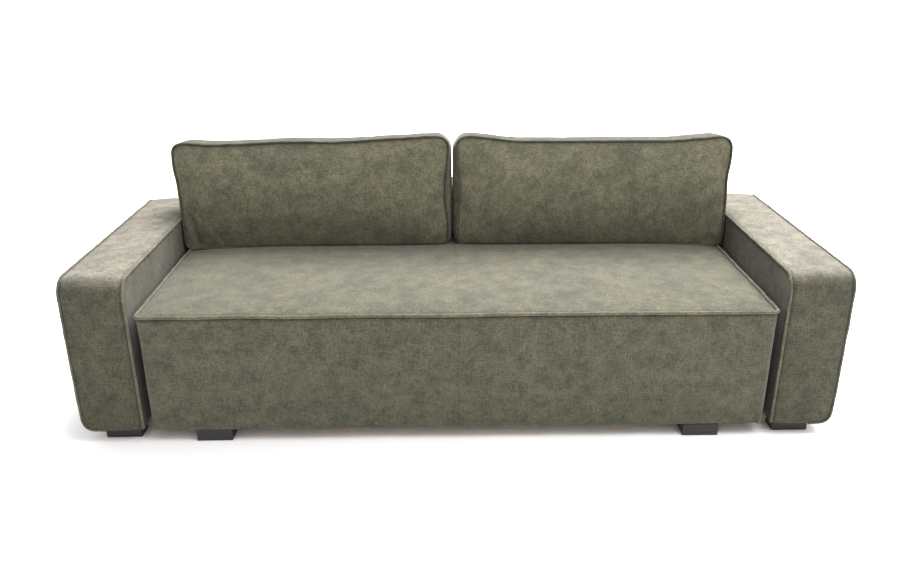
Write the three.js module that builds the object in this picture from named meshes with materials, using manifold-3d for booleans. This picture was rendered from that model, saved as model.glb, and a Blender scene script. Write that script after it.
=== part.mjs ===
// Pull-out sofa bed: two upholstered arms on a low base frame, a seat unit that rolls forward,
// a low backrest that folds flat behind it, and two loose back cushions.
// Millimetres, +Z up, front towards -Y. Origin: middle of the footprint, on the floor.
// Depths inside the "sofa" group are measured from the front face of the arms.

import * as THREE from 'three';
import { mergeVertices } from 'three/addons/utils/BufferGeometryUtils.js';
import Module from 'manifold-3d';

const wasm = await Module();
wasm.setup();

// Overall
const WIDTH = 2450;
const DEPTH = 934;
const FLOOR_GAP = 44;             // underside of the upholstery above the floor
const TOUCH = 0.3;                // gap between pieces that touch

// Arms
const ARM_WIDTH = 200;
const ARM_RISE = 121;             // above the seat
const ARM_FRONT_RADIUS = 55;
const ARM_REAR_RADIUS = 30;
const ARM_SIDE_PADDING = 12;
const ARM_END_PADDING = 20;
const ARM_TOP_PADDING = 30;
const ARM_BOARD = 18;
const OUTER_BOARD_LIFT = 12;      // leaves room for the cover's rounded lower outer edge
const FOOT_WIDTH = 118;
const FOOT_DEPTH = 60;
const ARM_FOOT_SETBACK = 35;
const ARM_FOOT_SHIFT = 18;        // towards the seat, from the arm's middle

// Seat unit
const SEAT_GAP = 25;              // from the seat's side to the arm
const SEAT_HEIGHT = 447;
const SEAT_PAD = 132;
const SEAT_EDGE_RADIUS = 18;
const SEAT_REAR_RADIUS = 7;
const SEAT_UNDERCUT = 34;         // how far the rear edge leans in, for the backrest's sweep
const SEAT_UNDERCUT_TOP = 15;     // upright stretch of the rear edge above the lean
const SEAT_SKIN = 7.7;            // padding on the unit's sides
const SEAT_FRONT_PADDING = 15.7;
const SEAT_BOARD = 18;
const SEAT_DECK = 12;
const SIDE_BOARD_CLEARANCE = 8;   // above the base frame's beams
const REAR_RAIL_CLEARANCE = 14;   // above the guide rails
const POST_WIDTH = 52;
const POST_DEPTH = 100;
const SEAT_FOOT_INSET = 200;
const SEAT_FOOT_SETBACK = 6;
const SEAT_FOOT_LIFT = 2;         // the casters carry the unit, so its feet hover

// Casters and guide rollers of the seat unit
const CASTER_RADIUS = 25;
const CASTER_WIDTH = 34;
const CASTER_INSET = 30;
const CASTER_SETBACK = 90;
const CASTER_CROWN = 3;
const CASTER_CLEARANCE = 8;       // wheel to the fork's top plate
const FORK_PLATE = 2.5;
const FORK_LENGTH = 40;
const ROLLER_RADIUS = 20;
const ROLLER_WIDTH = 18;
const ROLLER_FROM_REAR = 95;
const AXLE_RADIUS = 5;
const AXLE_HEAD = 3;
const AXLE_CLEARANCE = 0.3;

// Base frame between the arms
const BEAM_BOTTOM = 62;
const BEAM_THICKNESS = 20;
const FRONT_BEAM_SETBACK = 150;
const REAR_BEAM_THICKNESS = 27;
const REAR_BEAM_INSET = 17;       // from the arms' rear
const REAR_BEAM_CLEARANCE = 11;   // below the backrest's sweep
const REAR_SKIN = 6;
const REAR_SKIN_RISE = 14;        // above the rear beam
const RUNNER_INSET = 85;          // from the arms to the runner's middle
const RUNNER_THICKNESS = 30;
const RAIL_PLATE = 3;
const RAIL_LIP = 5.7;
const RAIL_LIP_WIDTH = 2;
const RAIL_CLEARANCE = 6;         // below the backrest's sweep
const RAIL_MARGIN = 32;           // rail beyond the roller's axle at both ends of its travel

// Backrest and its hinges
const BACK_THICKNESS = 120;
const BACK_DROP = 202;            // bottom edge below the seat's top
const BACK_RISE = 198;            // top edge above the seat's top
const BACK_INSET = 9;             // from the arms' rear
const BACK_TO_SEAT = 10;          // seat's rear edge to the upright backrest
const BACK_GAP = 15;              // backrest's end to the arm
const BACK_BOARD = 15;
const BACK_SKIN = 4.4;
const BACK_EDGE_RADIUS = 30;
const PLATE_THICKNESS = 4;
const PLATE_EYE = 20;
const PLATE_REACH = 60;
const PLATE_HALF_HEIGHT = 70;
const BOLT_RADIUS = 6;
const BOLT_HEAD_RADIUS = 12;
const BOLT_HEAD = 3;
const BOLT_TAIL = 12;
const SPACER_WALL = 7;

// Back cushions
const CUSHION_HEIGHT = 395;
const CUSHION_DEPTH = 165;
const CUSHION_LEAN = 30;          // how far the front face leans back over its height
const CUSHION_GAP = 12;           // between the two cushions
const CUSHION_TO_ARM = 24;
const CUSHION_RADIUS = 28;

// Places worked out from the sizes above
const ARM_INNER = WIDTH / 2 - ARM_WIDTH;
const ARM_HEIGHT = SEAT_HEIGHT + ARM_RISE;
const BACK_BOTTOM = SEAT_HEIGHT - BACK_DROP;
const BACK_TOP = SEAT_HEIGHT + BACK_RISE;
const BACK_FACE = DEPTH - BACK_INSET - BACK_THICKNESS;
const SEAT_DEPTH = BACK_FACE - BACK_TO_SEAT;
const SEAT_HALF = ARM_INNER - SEAT_GAP;
const PAD_BOTTOM = SEAT_HEIGHT - SEAT_PAD;
const DECK_BOTTOM = PAD_BOTTOM - TOUCH - SEAT_DECK;
const SEAT_FRAME_REAR = SEAT_DEPTH - SEAT_UNDERCUT;
const BOARD_OUTER = SEAT_HALF - SEAT_SKIN - TOUCH;
const BOARD_INNER = BOARD_OUTER - SEAT_BOARD;
const FRONT_BOARD_REAR = SEAT_FRONT_PADDING + TOUCH + SEAT_BOARD;
const BACK_HALF = ARM_INNER - BACK_GAP;
// The backrest's front face turns through 90 degrees from upright to level with the seat, with
// its top edge ending as far back as its rear face stood: that fixes where the hinge line lies.
const PIVOT_RISE = (BACK_RISE - BACK_THICKNESS) / 2;
const PIVOT_DEPTH = BACK_FACE - PIVOT_RISE;
const PIVOT_HEIGHT = SEAT_HEIGHT + PIVOT_RISE;
// The seat travels until its rear edge clears the bottom edge of the level backrest.
const FLAT_EDGE = PIVOT_DEPTH - (PIVOT_HEIGHT - BACK_BOTTOM);
const BED_GAP = 8;
const TRAVEL = SEAT_DEPTH - (FLAT_EDGE - BED_GAP);
// The backrest's lower rear edge sweeps a circle round the hinge line, and the base stays under it.
const SWEEP_RADIUS = Math.hypot(PIVOT_RISE + BACK_THICKNESS, PIVOT_HEIGHT - BACK_BOTTOM);
const LIP_TOP = PIVOT_HEIGHT - SWEEP_RADIUS - RAIL_CLEARANCE;
const RAIL_TOP = LIP_TOP - RAIL_LIP;
const BEAM_TOP = RAIL_TOP - RAIL_PLATE - TOUCH;
const REAR_BEAM_END = DEPTH - REAR_BEAM_INSET;
const REAR_BEAM_REACH = REAR_BEAM_END - REAR_BEAM_THICKNESS - PIVOT_DEPTH;
const REAR_SWEEP = PIVOT_HEIGHT - Math.sqrt(SWEEP_RADIUS ** 2 - REAR_BEAM_REACH ** 2);
const REAR_BEAM_TOP = REAR_SWEEP - REAR_BEAM_CLEARANCE;
const RUNNER_OFFSET = ARM_INNER - RUNNER_INSET;
const SIDE_BOARD_BOTTOM = BEAM_TOP + SIDE_BOARD_CLEARANCE;
const ROLLER_SETBACK = SEAT_DEPTH - ROLLER_FROM_REAR;
const FORK_TOP = 2 * CASTER_RADIUS + CASTER_CLEARANCE + FORK_PLATE;
const ROLLER_HEIGHT = RAIL_TOP + TOUCH + ROLLER_RADIUS;

function finish(color, roughness, metalness = 0) {
  return () => new THREE.MeshStandardMaterial({ color, roughness, metalness });
}
const fabric = finish(0x85816d, 0.85);
const softwood = finish(0xc3a271, 0.65);
const plywood = finish(0xb58f5f, 0.6);
const wenge = finish(0x2b211b, 0.45);
const steel = finish(0x8d9094, 0.4, 0.9);
const plastic = finish(0x1d1d1f, 0.5);

const object = new THREE.Group();
const sofa = new THREE.Group();
sofa.position.y = -DEPTH / 2;
object.add(sofa);

// ---- shape helpers ----

function place(name, geometry, material, x = 0, y = 0, z = 0) {
  const mesh = new THREE.Mesh(geometry, material());
  mesh.name = name;
  mesh.position.set(x, y, z);
  sofa.add(mesh);
}

// A box given by its lowest and highest values along each axis.
function block(name, [x0, x1], [y0, y1], [z0, z1], material) {
  const geometry = new THREE.BoxGeometry(Math.abs(x1 - x0), y1 - y0, z1 - z0);
  place(name, geometry, material, (x0 + x1) / 2, (y0 + y1) / 2, (z0 + z1) / 2);
}

// A side view (depth, height) extruded along X over the given width.
function sideExtrusion(shape, width, curveSegments = 8) {
  const geometry = new THREE.ExtrudeGeometry(shape, { depth: width, bevelEnabled: false, curveSegments });
  const turn = new THREE.Matrix4().makeBasis(
    new THREE.Vector3(0, 1, 0), new THREE.Vector3(0, 0, 1), new THREE.Vector3(1, 0, 0));
  return geometry.applyMatrix4(turn);
}

// A round piece on the X axis, from a closed profile of [distance along X, radius] points: out
// along the inside, then back along the outside.
function turned(points, segments = 24) {
  const profile = points.map(([along, radius]) => new THREE.Vector2(radius, along)).reverse();
  profile.push(profile[0].clone());
  const geometry = new THREE.LatheGeometry(profile, segments);
  return geometry.rotateZ(-Math.PI / 2);
}

function pin(radius, length, segments = 24) {
  return turned([[0, 0], [length, 0], [length, radius], [0, radius]], segments);
}

// A polygon with a radius at each corner, as [depth, height, radius] going anticlockwise.
function roundedOutline(corners) {
  const shape = new THREE.Shape();
  const count = corners.length;
  corners.forEach(([y, z, radius], i) => {
    const corner = new THREE.Vector2(y, z);
    const before = new THREE.Vector2(...corners[(i + count - 1) % count].slice(0, 2));
    const after = new THREE.Vector2(...corners[(i + 1) % count].slice(0, 2));
    const inward = before.sub(corner).normalize();
    const outward = after.sub(corner).normalize();
    const half = Math.acos(inward.dot(outward)) / 2;
    const setback = radius / Math.tan(half);
    const start = corner.clone().addScaledVector(inward, setback);
    if (i === 0) shape.moveTo(start.x, start.y);
    else shape.lineTo(start.x, start.y);
    if (radius === 0) return;
    const bisector = inward.add(outward).normalize();
    const centre = corner.clone().addScaledVector(bisector, radius / Math.sin(half));
    const end = corner.clone().addScaledVector(outward, setback);
    const startAngle = Math.atan2(start.y - centre.y, start.x - centre.x);
    const endAngle = Math.atan2(end.y - centre.y, end.x - centre.x);
    shape.absarc(centre.x, centre.y, radius, startAngle, endAngle, false);
  });
  return shape;
}

// Booleans on closed meshes
function solid(geometry) {
  const bare = geometry.index ? geometry.toNonIndexed() : geometry.clone();
  bare.deleteAttribute('normal');
  bare.deleteAttribute('uv');
  const merged = mergeVertices(bare, 1e-4);
  return new wasm.Manifold(new wasm.Mesh({
    numProp: 3,
    vertProperties: new Float32Array(merged.attributes.position.array),
    triVerts: new Uint32Array(merged.index.array),
  }));
}

function geometryOf(manifold) {
  const mesh = manifold.getMesh();
  const geometry = new THREE.BufferGeometry();
  geometry.setAttribute('position', new THREE.BufferAttribute(mesh.vertProperties, 3));
  geometry.setIndex(new THREE.BufferAttribute(mesh.triVerts, 1));
  return geometry;
}

function boxSolid([x0, x1], [y0, y1], [z0, z1]) {
  const box = new THREE.BoxGeometry(x1 - x0, y1 - y0, z1 - z0);
  return solid(box.translate((x0 + x1) / 2, (y0 + y1) / 2, (z0 + z1) / 2));
}

function boreSolid(radius, [x0, x1], y, z) {
  return solid(pin(radius, x1 - x0).translate(x0, y, z));
}

// ---- arms ----

// The padded cover is a hood, open underneath, with a hole for the hinge spacer.
function armCover(side, suffix) {
  const outline = roundedOutline([
    [0, FLOOR_GAP, 0],
    [DEPTH, FLOOR_GAP, 0],
    [DEPTH, ARM_HEIGHT, ARM_REAR_RADIUS],
    [0, ARM_HEIGHT, ARM_FRONT_RADIUS],
  ]);
  const hood = solid(sideExtrusion(outline, ARM_WIDTH).translate(-ARM_WIDTH / 2, 0, 0));
  const halfCavity = ARM_WIDTH / 2 - ARM_SIDE_PADDING;
  const cavity = boxSolid(
    [-halfCavity, halfCavity],
    [ARM_END_PADDING, DEPTH - ARM_SIDE_PADDING],
    [FLOOR_GAP - 1, ARM_HEIGHT - ARM_TOP_PADDING]);
  const innerFace = -side * ARM_WIDTH / 2;
  const hole = boreSolid(
    BOLT_RADIUS + SPACER_WALL + AXLE_CLEARANCE,
    [innerFace - ARM_SIDE_PADDING - 1, innerFace + ARM_SIDE_PADDING + 1],
    PIVOT_DEPTH, PIVOT_HEIGHT);
  const geometry = geometryOf(hood.subtract(cavity).subtract(hole));
  place(`arm_cover_${suffix}`, geometry, fabric, side * (ARM_INNER + ARM_WIDTH / 2));
}

// A wooden box frame fills the cover: two side boards, two end boards, a top and a bottom.
function armFrame(side, suffix) {
  const inner = ARM_INNER + ARM_SIDE_PADDING + TOUCH;
  const outer = ARM_INNER + ARM_WIDTH - ARM_SIDE_PADDING - TOUCH;
  const front = ARM_END_PADDING + TOUCH;
  const rear = DEPTH - ARM_SIDE_PADDING - TOUCH;
  const bottom = FLOOR_GAP + TOUCH;
  const top = ARM_HEIGHT - ARM_TOP_PADDING - TOUCH;
  const wallBottom = bottom + ARM_BOARD + TOUCH;
  const wallTop = top - ARM_BOARD - TOUCH;
  const across = (near, far) => [side * near, side * far];

  const depth = [front, rear];
  const bottomSpan = across(inner, outer - ARM_BOARD - TOUCH);
  block(`arm_bottom_board_${suffix}`, bottomSpan, depth, [bottom, bottom + ARM_BOARD], plywood);
  block(`arm_top_board_${suffix}`, across(inner, outer), depth, [top - ARM_BOARD, top], plywood);
  const outerHeight = [bottom + OUTER_BOARD_LIFT, wallTop];
  block(`arm_outer_board_${suffix}`, across(outer - ARM_BOARD, outer), depth, outerHeight, plywood);
  const endSpan = across(inner + ARM_BOARD + TOUCH, outer - ARM_BOARD - TOUCH);
  block(`arm_front_board_${suffix}`, endSpan, [front, front + ARM_BOARD], [wallBottom, wallTop], plywood);
  block(`arm_rear_board_${suffix}`, endSpan, [rear - ARM_BOARD, rear], [wallBottom, wallTop], plywood);

  const panel = roundedOutline([
    [front, wallBottom, 0], [rear, wallBottom, 0], [rear, wallTop, 0], [front, wallTop, 0]]);
  const bolt = new THREE.Path();
  bolt.absarc(PIVOT_DEPTH, PIVOT_HEIGHT, BOLT_RADIUS + AXLE_CLEARANCE, 0, 2 * Math.PI, true);
  panel.holes.push(bolt);
  const panelStart = Math.min(side * inner, side * (inner + ARM_BOARD));
  place(`arm_inner_board_${suffix}`, sideExtrusion(panel, ARM_BOARD), plywood, panelStart);
}

function armFeet(side, suffix) {
  const middle = ARM_INNER + ARM_WIDTH / 2 - ARM_FOOT_SHIFT;
  const span = [side * (middle - FOOT_WIDTH / 2), side * (middle + FOOT_WIDTH / 2)];
  const front = ARM_FOOT_SETBACK;
  const rear = DEPTH - ARM_FOOT_SETBACK - FOOT_DEPTH;
  block(`arm_foot_front_${suffix}`, span, [front, front + FOOT_DEPTH], [0, FLOOR_GAP], wenge);
  block(`arm_foot_rear_${suffix}`, span, [rear, rear + FOOT_DEPTH], [0, FLOOR_GAP], wenge);
}

// ---- base frame ----

function baseFrame() {
  const reach = ARM_INNER - TOUCH;
  const height = [BEAM_BOTTOM, BEAM_TOP];
  const frontBeam = [FRONT_BEAM_SETBACK, FRONT_BEAM_SETBACK + BEAM_THICKNESS];
  const rearBeam = [REAR_BEAM_END - REAR_BEAM_THICKNESS, REAR_BEAM_END];
  block('base_front_beam', [-reach, reach], frontBeam, height, softwood);
  block('base_rear_beam', [-reach, reach], rearBeam, [BEAM_BOTTOM, REAR_BEAM_TOP], softwood);
  const skin = [REAR_BEAM_END + TOUCH, REAR_BEAM_END + TOUCH + REAR_SKIN];
  block('base_rear_cover', [-reach, reach], skin, [FLOOR_GAP, REAR_BEAM_TOP + REAR_SKIN_RISE], fabric);
  for (const [side, suffix] of [[-1, 'left'], [1, 'right']]) {
    const half = RUNNER_THICKNESS / 2;
    const across = [side * (RUNNER_OFFSET - half), side * (RUNNER_OFFSET + half)];
    block(`base_runner_${suffix}`, across, [frontBeam[1] + TOUCH, rearBeam[0] - TOUCH], height, softwood);
    guideRail(side, suffix);
  }
}

// A shallow steel channel on each runner, as long as the roller's travel.
function guideRail(side, suffix) {
  const half = RUNNER_THICKNESS / 2;
  const low = BEAM_TOP + TOUCH;
  const channel = new THREE.Shape([
    [-half, low], [half, low], [half, LIP_TOP], [half - RAIL_LIP_WIDTH, LIP_TOP],
    [half - RAIL_LIP_WIDTH, RAIL_TOP], [RAIL_LIP_WIDTH - half, RAIL_TOP],
    [RAIL_LIP_WIDTH - half, LIP_TOP], [-half, LIP_TOP],
  ].map(([x, z]) => new THREE.Vector2(x, z)));
  const length = TRAVEL + 2 * RAIL_MARGIN;
  const geometry = new THREE.ExtrudeGeometry(channel, { depth: length, bevelEnabled: false });
  geometry.rotateX(Math.PI / 2);
  place(`guide_rail_${suffix}`, geometry, steel, side * RUNNER_OFFSET, ROLLER_SETBACK + RAIL_MARGIN);
}

// ---- seat unit ----

function seatUpholstery() {
  const rear = SEAT_DEPTH;
  const outline = roundedOutline([
    [0, PAD_BOTTOM, 0],
    [SEAT_FRAME_REAR, PAD_BOTTOM, 0],
    [rear, SEAT_HEIGHT - SEAT_UNDERCUT_TOP, 0],
    [rear, SEAT_HEIGHT, SEAT_REAR_RADIUS],
    [0, SEAT_HEIGHT, SEAT_EDGE_RADIUS],
  ]);
  place('seat_pad', sideExtrusion(outline, 2 * SEAT_HALF), fabric, -SEAT_HALF);
  const below = PAD_BOTTOM - TOUCH;
  block('seat_front_padding', [-SEAT_HALF, SEAT_HALF], [0, SEAT_FRONT_PADDING], [FLOOR_GAP, below], fabric);
  for (const [side, suffix] of [[-1, 'left'], [1, 'right']]) {
    const across = [side * (SEAT_HALF - SEAT_SKIN), side * SEAT_HALF];
    const along = [SEAT_FRONT_PADDING + TOUCH, SEAT_FRAME_REAR];
    block(`seat_side_padding_${suffix}`, across, along, [SIDE_BOARD_BOTTOM, below], fabric);
  }
}

function seatFrame() {
  const top = DECK_BOTTOM - TOUCH;
  const frontBoard = [SEAT_FRONT_PADDING + TOUCH, FRONT_BOARD_REAR];
  const rearRail = [SEAT_FRAME_REAR - SEAT_BOARD, SEAT_FRAME_REAR];
  block('seat_deck', [-BOARD_OUTER, BOARD_OUTER], [frontBoard[0], SEAT_FRAME_REAR],
    [DECK_BOTTOM, DECK_BOTTOM + SEAT_DECK], plywood);
  block('seat_front_board', [-BOARD_OUTER, BOARD_OUTER], frontBoard, [FLOOR_GAP + TOUCH, top], softwood);
  block('seat_rear_rail', [TOUCH - BOARD_INNER, BOARD_INNER - TOUCH], rearRail,
    [LIP_TOP + REAR_RAIL_CLEARANCE, top], softwood);
  for (const [side, suffix] of [[-1, 'left'], [1, 'right']]) {
    const postStart = FRONT_BOARD_REAR + TOUCH;
    const postEnd = postStart + POST_DEPTH;
    block(`caster_post_${suffix}`, [side * (BOARD_OUTER - POST_WIDTH), side * BOARD_OUTER],
      [postStart, postEnd], [FORK_TOP + TOUCH, top], softwood);
    seatSideBoard(side, suffix, [postEnd + TOUCH, SEAT_FRAME_REAR], [SIDE_BOARD_BOTTOM, top]);
    const footMiddle = SEAT_HALF - SEAT_FOOT_INSET;
    const foot = [side * (footMiddle - FOOT_WIDTH / 2), side * (footMiddle + FOOT_WIDTH / 2)];
    const footDepth = [SEAT_FOOT_SETBACK, SEAT_FOOT_SETBACK + FOOT_DEPTH];
    block(`seat_foot_${suffix}`, foot, footDepth, [SEAT_FOOT_LIFT, FLOOR_GAP - TOUCH], wenge);
    caster(side, suffix);
    guideRoller(side, suffix);
  }
}

function seatSideBoard(side, suffix, [y0, y1], [z0, z1]) {
  const outline = roundedOutline([[y0, z0, 0], [y1, z0, 0], [y1, z1, 0], [y0, z1, 0]]);
  const hole = new THREE.Path();
  hole.absarc(ROLLER_SETBACK, ROLLER_HEIGHT, AXLE_RADIUS + AXLE_CLEARANCE, 0, 2 * Math.PI, true);
  outline.holes.push(hole);
  const start = Math.min(side * BOARD_INNER, side * BOARD_OUTER);
  place(`seat_side_board_${suffix}`, sideExtrusion(outline, SEAT_BOARD), softwood, start);
}

// A wheel with a crowned tread and a bore, centred on its own middle.
function wheel(radius, width, crown) {
  const half = width / 2;
  const bore = AXLE_RADIUS + AXLE_CLEARANCE;
  const shoulder = radius - crown * 0.3;
  return turned([
    [-half, bore], [half, bore], [half, radius - crown], [half * 0.6, shoulder], [half * 0.25, radius],
    [-half * 0.25, radius], [-half * 0.6, shoulder], [-half, radius - crown],
  ], 32);
}

function caster(side, suffix) {
  const x = side * (SEAT_HALF - CASTER_INSET);
  place(`caster_wheel_${suffix}`, wheel(CASTER_RADIUS, CASTER_WIDTH, CASTER_CROWN), plastic,
    x, CASTER_SETBACK, CASTER_RADIUS);

  const half = CASTER_WIDTH / 2 + 1;
  const plateBottom = CASTER_RADIUS - 2 * AXLE_RADIUS;
  const yoke = new THREE.Shape([
    [-half - FORK_PLATE, plateBottom], [-half, plateBottom], [-half, FORK_TOP - FORK_PLATE],
    [half, FORK_TOP - FORK_PLATE], [half, plateBottom], [half + FORK_PLATE, plateBottom],
    [half + FORK_PLATE, FORK_TOP], [-half - FORK_PLATE, FORK_TOP],
  ].map(([px, pz]) => new THREE.Vector2(px, pz)));
  const bent = new THREE.ExtrudeGeometry(yoke, { depth: FORK_LENGTH, bevelEnabled: false });
  bent.rotateX(Math.PI / 2).translate(0, FORK_LENGTH / 2, 0);
  const reach = half + FORK_PLATE;
  const bore = boreSolid(AXLE_RADIUS + AXLE_CLEARANCE, [-reach - 1, reach + 1], 0, CASTER_RADIUS);
  place(`caster_fork_${suffix}`, geometryOf(solid(bent).subtract(bore)), steel, x, CASTER_SETBACK);

  const end = reach + TOUCH;
  const axle = turned([
    [-end - AXLE_HEAD, 0], [end, 0], [end, AXLE_RADIUS], [-end, AXLE_RADIUS],
    [-end, AXLE_RADIUS + AXLE_HEAD], [-end - AXLE_HEAD, AXLE_RADIUS + AXLE_HEAD],
  ]);
  const facing = side < 0 ? axle.rotateZ(Math.PI) : axle;
  place(`caster_axle_${suffix}`, facing, steel, x, CASTER_SETBACK, CASTER_RADIUS);
}

// A roller on the inner side of each side board, running in the guide rail.
function guideRoller(side, suffix) {
  place(`guide_roller_${suffix}`, wheel(ROLLER_RADIUS, ROLLER_WIDTH, 1), plastic,
    side * RUNNER_OFFSET, ROLLER_SETBACK, ROLLER_HEIGHT);
  const half = ROLLER_WIDTH / 2 + TOUCH;
  const shoulder = BOARD_INNER - TOUCH - RUNNER_OFFSET;
  const tail = BOARD_OUTER - RUNNER_OFFSET;
  const collar = AXLE_RADIUS + AXLE_HEAD;
  const axle = turned([
    [-half - AXLE_HEAD, 0], [tail, 0], [tail, AXLE_RADIUS], [shoulder, AXLE_RADIUS], [shoulder, collar],
    [half, collar], [half, AXLE_RADIUS], [-half, AXLE_RADIUS], [-half, collar], [-half - AXLE_HEAD, collar],
  ]);
  place(`roller_axle_${suffix}`, side < 0 ? axle.rotateZ(Math.PI) : axle, steel,
    side * RUNNER_OFFSET, ROLLER_SETBACK, ROLLER_HEIGHT);
}

// ---- backrest and hinges ----

function backrest() {
  const padRear = BACK_FACE + BACK_THICKNESS - BACK_SKIN - BACK_BOARD - 2 * TOUCH;
  const outline = roundedOutline([
    [BACK_FACE, BACK_BOTTOM, BACK_EDGE_RADIUS],
    [padRear, BACK_BOTTOM, 0],
    [padRear, BACK_TOP, 0],
    [BACK_FACE, BACK_TOP, BACK_EDGE_RADIUS],
  ]);
  place('backrest_pad', sideExtrusion(outline, 2 * BACK_HALF), fabric, -BACK_HALF);
  const board = [padRear + TOUCH, padRear + TOUCH + BACK_BOARD];
  block('backrest_board', [-BACK_HALF, BACK_HALF], board, [BACK_BOTTOM, BACK_TOP], plywood);
  const skin = [board[1] + TOUCH, board[1] + TOUCH + BACK_SKIN];
  block('backrest_rear_cover', [-BACK_HALF, BACK_HALF], skin, [BACK_BOTTOM, BACK_TOP], fabric);
}

// A steel arm on each end of the backrest turns on a shouldered bolt fixed in the sofa's arm.
function backHinge(side, suffix) {
  const tail = BACK_FACE + PLATE_REACH;
  const outline = roundedOutline([
    [PIVOT_DEPTH - PLATE_EYE, PIVOT_HEIGHT - PLATE_EYE, PLATE_EYE - 1],
    [tail, PIVOT_HEIGHT - PLATE_HALF_HEIGHT, 10],
    [tail, PIVOT_HEIGHT + PLATE_HALF_HEIGHT, 10],
    [PIVOT_DEPTH - PLATE_EYE, PIVOT_HEIGHT + PLATE_EYE, PLATE_EYE - 1],
  ]);
  const eye = new THREE.Path();
  eye.absarc(PIVOT_DEPTH, PIVOT_HEIGHT, BOLT_RADIUS + AXLE_CLEARANCE, 0, 2 * Math.PI, true);
  outline.holes.push(eye);
  const plateNear = BACK_HALF + TOUCH;
  const plateFar = plateNear + PLATE_THICKNESS;
  place(`hinge_plate_${suffix}`, sideExtrusion(outline, PLATE_THICKNESS), steel,
    side > 0 ? plateNear : -plateFar);

  const boardFar = ARM_INNER + ARM_SIDE_PADDING + TOUCH + ARM_BOARD;
  const headFar = plateNear - TOUCH;
  const headNear = headFar - BOLT_HEAD;
  const bolt = turned([
    [headNear, 0], [boardFar + BOLT_TAIL, 0], [boardFar + BOLT_TAIL, BOLT_RADIUS],
    [headFar, BOLT_RADIUS], [headFar, BOLT_HEAD_RADIUS], [headNear, BOLT_HEAD_RADIUS - 2],
  ]);
  const spacer = turned([
    [plateFar + TOUCH, BOLT_RADIUS + AXLE_CLEARANCE],
    [ARM_INNER + ARM_SIDE_PADDING, BOLT_RADIUS + AXLE_CLEARANCE],
    [ARM_INNER + ARM_SIDE_PADDING, BOLT_RADIUS + SPACER_WALL],
    [plateFar + TOUCH, BOLT_RADIUS + SPACER_WALL],
  ]);
  for (const [name, geometry] of [['hinge_bolt', bolt], ['hinge_spacer', spacer]]) {
    const mirrored = side < 0 ? geometry.rotateZ(Math.PI) : geometry;
    place(`${name}_${suffix}`, mirrored, steel, 0, PIVOT_DEPTH, PIVOT_HEIGHT);
  }
}

// ---- back cushions ----

function backCushion(side, suffix) {
  const rear = BACK_FACE - 1;
  const front = rear - CUSHION_DEPTH;
  const low = SEAT_HEIGHT + TOUCH;
  const high = low + CUSHION_HEIGHT;
  const outline = roundedOutline([
    [front, low, CUSHION_RADIUS],
    [rear, low, CUSHION_RADIUS],
    [rear, high, CUSHION_RADIUS],
    [front + CUSHION_LEAN, high, CUSHION_RADIUS],
  ]);
  const near = CUSHION_GAP / 2;
  const far = ARM_INNER - CUSHION_TO_ARM;
  place(`back_cushion_${suffix}`, sideExtrusion(outline, far - near), fabric, side > 0 ? near : -far);
}

baseFrame();
seatUpholstery();
seatFrame();
backrest();
for (const [side, suffix] of [[-1, 'left'], [1, 'right']]) {
  armCover(side, suffix);
  armFrame(side, suffix);
  armFeet(side, suffix);
  backHinge(side, suffix);
  backCushion(side, suffix);
}

export default object;
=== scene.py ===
"""Pull-out sofa bed: mottled olive velour over a timber frame, with piped seams and loose back cushions."""
import math

import bmesh
import bpy
import numpy as np
from mathutils import Matrix, Vector
from mathutils.bvhtree import BVHTree


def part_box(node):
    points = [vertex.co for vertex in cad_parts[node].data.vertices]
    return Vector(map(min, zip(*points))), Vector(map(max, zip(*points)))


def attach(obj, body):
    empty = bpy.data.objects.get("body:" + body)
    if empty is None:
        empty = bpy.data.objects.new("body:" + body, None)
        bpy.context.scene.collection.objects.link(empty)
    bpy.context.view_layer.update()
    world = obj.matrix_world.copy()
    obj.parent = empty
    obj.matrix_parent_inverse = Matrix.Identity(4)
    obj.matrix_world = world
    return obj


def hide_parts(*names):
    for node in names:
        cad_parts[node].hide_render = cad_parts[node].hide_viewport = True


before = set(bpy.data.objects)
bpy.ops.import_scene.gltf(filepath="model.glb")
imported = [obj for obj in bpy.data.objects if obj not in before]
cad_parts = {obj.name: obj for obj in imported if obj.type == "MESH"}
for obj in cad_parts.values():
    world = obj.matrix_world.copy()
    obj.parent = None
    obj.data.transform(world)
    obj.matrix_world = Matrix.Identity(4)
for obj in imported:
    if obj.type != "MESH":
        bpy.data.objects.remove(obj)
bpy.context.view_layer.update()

SIDES = ((-1, "left"), (1, "right"))

# Camera: its place in metres, its angles in degrees and its lens in millimetres
CAMERA_PLACE = (-0.0507, -2.8045, 1.4870)
CAMERA_PITCH = 21.781
CAMERA_YAW = 0.627
CAMERA_ROLL = -0.286
CAMERA_LENS = 33.046

# Cloth and seams, in metres
PIPING = 0.0043                    # the sewn cords' radius
CORD_SIDES = 10
CUSHION_VOXEL = 0.0075
ARM_VOXEL = 0.0065
CLOTH_FRAMES = 20                  # of the cushions' simulation
PUCKER_LENGTHS = (0.022, 0.009)
# A seam is its groove's depth and width, its puckers' height, and at times their reach and seed.
# A seam shade is painted shade beside the seam: how dark the cloth is painted, from 0 to 1, and over what
# distance.
SEAM_PAINTED_SHADE = (0.55, 0.0065)

# Studio sky: its strength overhead, the share of it at the horizon, and its tilt to the right
SKY_STRENGTH = 1.5
SKY_LOW = 0.52
SKY_SIDE = 0.22
FLOOR_HALF = 55.0
# Soft lamps: name, place, aim, width, height, watts and color
LAMPS = (
    ("overhead", (1.1, 2.4, 5.2), (0, 0, 0.4), 3.6, 3.0, 1040, (1.0, 0.99, 0.975)),
    ("front_fill", (2.1, -1.9, 3.6), (0.3, 0.3, 0.6), 2.2, 1.4, 95, (1.0, 0.995, 0.985)),
)

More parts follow.
